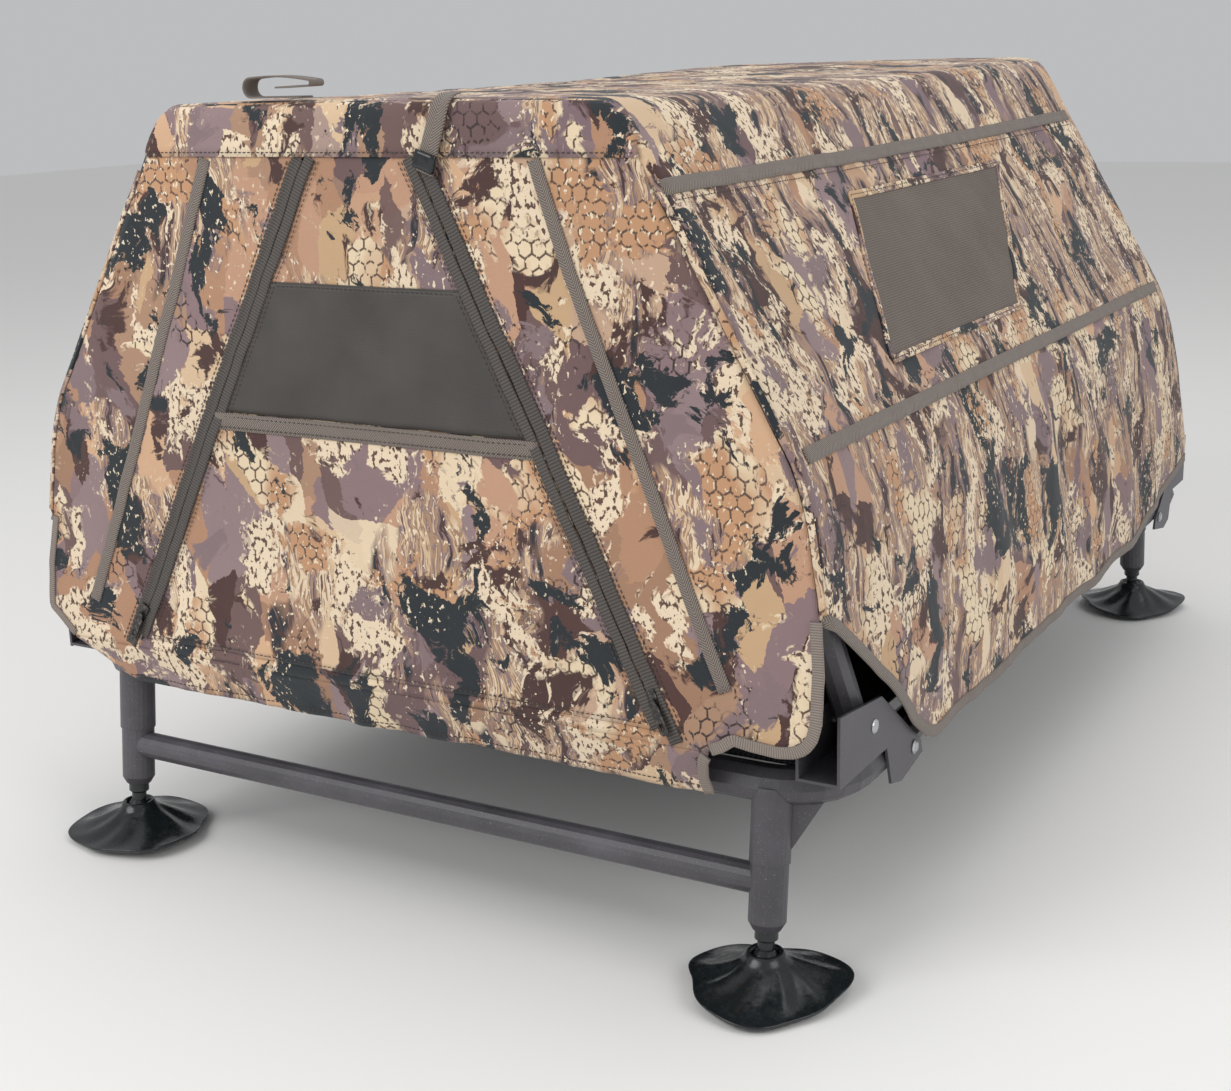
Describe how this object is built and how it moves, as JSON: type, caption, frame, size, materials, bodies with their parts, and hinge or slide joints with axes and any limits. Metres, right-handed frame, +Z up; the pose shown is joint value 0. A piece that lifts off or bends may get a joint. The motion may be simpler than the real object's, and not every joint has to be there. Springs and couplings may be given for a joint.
{
  "type": "pop up ground blind",
  "caption": "Low camo ground blind for a dog: fabric cover with a zipped tapering front door over two folding hoops on a raised tube stand with splayed legs and swivel feet",
  "frame": {"origin": "on the ground under the middle of the stand, the centre of the bounding box's underside", "axes": "+Z up, -Y is the front with the zipped door, +X is to the right seen from the front"},
  "size_m": [0.7224, 1.1348, 0.6352],
  "materials": {
    "powder_coated_steel": "satin powder coat",
    "zinc_plated_steel": "satin plating",
    "glossy_black_plastic": "gloss",
    "printed_cover_cloth": "matt woven",
    "window_mesh": "matt mesh",
    "nylon_webbing": "matt woven",
    "zip_tape": "matt woven",
    "zip_slider_metal": "satin",
    "patch_cloth": "matt woven",
    "deck_cloth": "matt woven"
  },
  "bodies": {
    "stand": {"rail_frame": "powder_coated_steel", "deck_bearer": "powder_coated_steel", "deck": "deck_cloth", "leg_socket_front_left": "powder_coated_steel", "hoop_bracket_front_left": "powder_coated_steel", "hoop_pin_front_left": "powder_coated_steel", "bracket_bolt_front_left": "zinc_plated_steel", "leg_socket_front_right": "powder_coated_steel", "hoop_bracket_front_right": "powder_coated_steel", "hoop_pin_front_right": "powder_coated_steel", "bracket_bolt_front_right": "zinc_plated_steel", "leg_socket_rear_left": "powder_coated_steel", "hoop_bracket_rear_left": "powder_coated_steel", "hoop_pin_rear_left": "powder_coated_steel", "bracket_bolt_rear_left": "zinc_plated_steel", "leg_socket_rear_right": "powder_coated_steel", "hoop_bracket_rear_right": "powder_coated_steel", "hoop_pin_rear_right": "powder_coated_steel", "bracket_bolt_rear_right": "zinc_plated_steel", "roof": "printed_cover_cloth", "side_wall_left": "printed_cover_cloth", "side_wall_right": "printed_cover_cloth", "side_window_left": "window_mesh", "side_window_right": "window_mesh", "front_skirt": "printed_cover_cloth", "rear_skirt": "printed_cover_cloth"},
    "front_hoop_body": {"front_hoop": "powder_coated_steel", "front_wall": "printed_cover_cloth", "zip_tape_left": "zip_tape", "zip_tape_right": "zip_tape", "stubble_strap_left": "nylon_webbing", "stubble_strap_right": "nylon_webbing", "door_tie_left": "nylon_webbing", "door_tie_right": "nylon_webbing"},
    "rear_hoop_body": {"rear_hoop": "powder_coated_steel", "rear_wall": "printed_cover_cloth"},
    "front_door_body": {"front_door": "printed_cover_cloth", "door_patch": "patch_cloth", "door_webbing": "nylon_webbing"},
    "zip_slider_left_body": {"zip_slider_left": "zip_slider_metal"},
    "zip_pull_left_body": {"zip_pull_left": "zip_slider_metal"},
    "zip_slider_right_body": {"zip_slider_right": "zip_slider_metal"},
    "zip_pull_right_body": {"zip_pull_right": "zip_slider_metal"},
    "front_legs": {"front_leg_frame": "powder_coated_steel", "foot_stud_front_left": "glossy_black_plastic", "foot_stud_front_right": "glossy_black_plastic"},
    "snap_button_front_left_body": {"snap_button_front_left": "zinc_plated_steel"},
    "foot_pad_front_left_body": {"foot_pad_front_left": "glossy_black_plastic"},
    "snap_button_front_right_body": {"snap_button_front_right": "zinc_plated_steel"},
    "foot_pad_front_right_body": {"foot_pad_front_right": "glossy_black_plastic"},
    "rear_legs": {"rear_leg_frame": "powder_coated_steel", "foot_stud_rear_left": "glossy_black_plastic", "foot_stud_rear_right": "glossy_black_plastic"},
    "snap_button_rear_left_body": {"snap_button_rear_left": "zinc_plated_steel"},
    "foot_pad_rear_left_body": {"foot_pad_rear_left": "glossy_black_plastic"},
    "snap_button_rear_right_body": {"snap_button_rear_right": "zinc_plated_steel"},
    "foot_pad_rear_right_body": {"foot_pad_rear_right": "glossy_black_plastic"}
  },
  "joints": [
    {"name": "front_hoop_fold", "type": "hinge", "parent": "stand", "child": "front_hoop_body", "pos_m": [0, -0.449, 0.19], "axis": [-1, 0, 0], "range_deg": [0, 94], "deforming": ["roof", "side_wall_left", "side_wall_right", "side_window_left", "side_window_right"]},
    {"name": "rear_hoop_fold", "type": "hinge", "parent": "stand", "child": "rear_hoop_body", "pos_m": [0, 0.449, 0.19], "axis": [1, 0, 0], "range_deg": [0, 84]},
    {"name": "door_lift", "type": "hinge", "parent": "front_hoop_body", "child": "front_door_body", "pos_m": [0, -0.50907, 0.578], "axis": [-1, 0, 0], "range_deg": [0, 150]},
    {"name": "zip_left_slide", "type": "slide", "parent": "front_hoop_body", "child": "zip_slider_left_body", "axis": [0.4561, 0.0358, 0.8892], "range_m": [0, 0.37]},
    {"name": "zip_pull_left_swing", "type": "hinge", "parent": "zip_slider_left_body", "child": "zip_pull_left_body", "pos_m": [-0.24971, -0.52893, 0.21421], "axis": [-0.8899, 0.0184, 0.4557], "range_deg": [0, 110]},
    {"name": "zip_right_slide", "type": "slide", "parent": "front_hoop_body", "child": "zip_slider_right_body", "axis": [-0.4561, 0.0358, 0.8892], "range_m": [0, 0.37]},
    {"name": "zip_pull_right_swing", "type": "hinge", "parent": "zip_slider_right_body", "child": "zip_pull_right_body", "pos_m": [0.22571, -0.52893, 0.21421], "axis": [-0.8899, -0.0184, -0.4557], "range_deg": [0, 110]},
    {"name": "front_leg_height", "type": "slide", "parent": "stand", "child": "front_legs", "axis": [0, -0.1132, -0.9936], "range_m": [0, 0.025]},
    {"name": "snap_button_front_left_press", "type": "slide", "parent": "front_legs", "child": "snap_button_front_left_body", "axis": [0, -0.9936, 0.1132], "range_m": [0, 0.005], "stiffness_N_per_m": 300},
    {"name": "foot_front_left_tilt", "type": "hinge", "parent": "front_legs", "child": "foot_pad_front_left_body", "pos_m": [-0.3, -0.50564, 0.0235], "axis": [1, 0, 0], "range_deg": [-20, 6]},
    {"name": "snap_button_front_right_press", "type": "slide", "parent": "front_legs", "child": "snap_button_front_right_body", "axis": [0, -0.9936, 0.1132], "range_m": [0, 0.005], "stiffness_N_per_m": 300},
    {"name": "foot_front_right_tilt", "type": "hinge", "parent": "front_legs", "child": "foot_pad_front_right_body", "pos_m": [0.3, -0.50564, 0.0235], "axis": [1, 0, 0], "range_deg": [-20, 6]},
    {"name": "rear_leg_height", "type": "slide", "parent": "stand", "child": "rear_legs", "axis": [0, 0.1132, -0.9936], "range_m": [0, 0.025]},
    {"name": "snap_button_rear_left_press", "type": "slide", "parent": "rear_legs", "child": "snap_button_rear_left_body", "axis": [0, 0.9936, 0.1132], "range_m": [0, 0.005], "stiffness_N_per_m": 300},
    {"name": "foot_rear_left_tilt", "type": "hinge", "parent": "rear_legs", "child": "foot_pad_rear_left_body", "pos_m": [-0.3, 0.50564, 0.0235], "axis": [1, 0, 0], "range_deg": [-6, 20]},
    {"name": "snap_button_rear_right_press", "type": "slide", "parent": "rear_legs", "child": "snap_button_rear_right_body", "axis": [0, 0.9936, 0.1132], "range_m": [0, 0.005], "stiffness_N_per_m": 300},
    {"name": "foot_rear_right_tilt", "type": "hinge", "parent": "rear_legs", "child": "foot_pad_rear_right_body", "pos_m": [0.3, 0.50564, 0.0235], "axis": [1, 0, 0], "range_deg": [-6, 20]}
  ],
  "couplings": [
    {"joint": "rear_hoop_fold", "follows": "front_hoop_fold", "ratio": 0.8936}
  ]
}
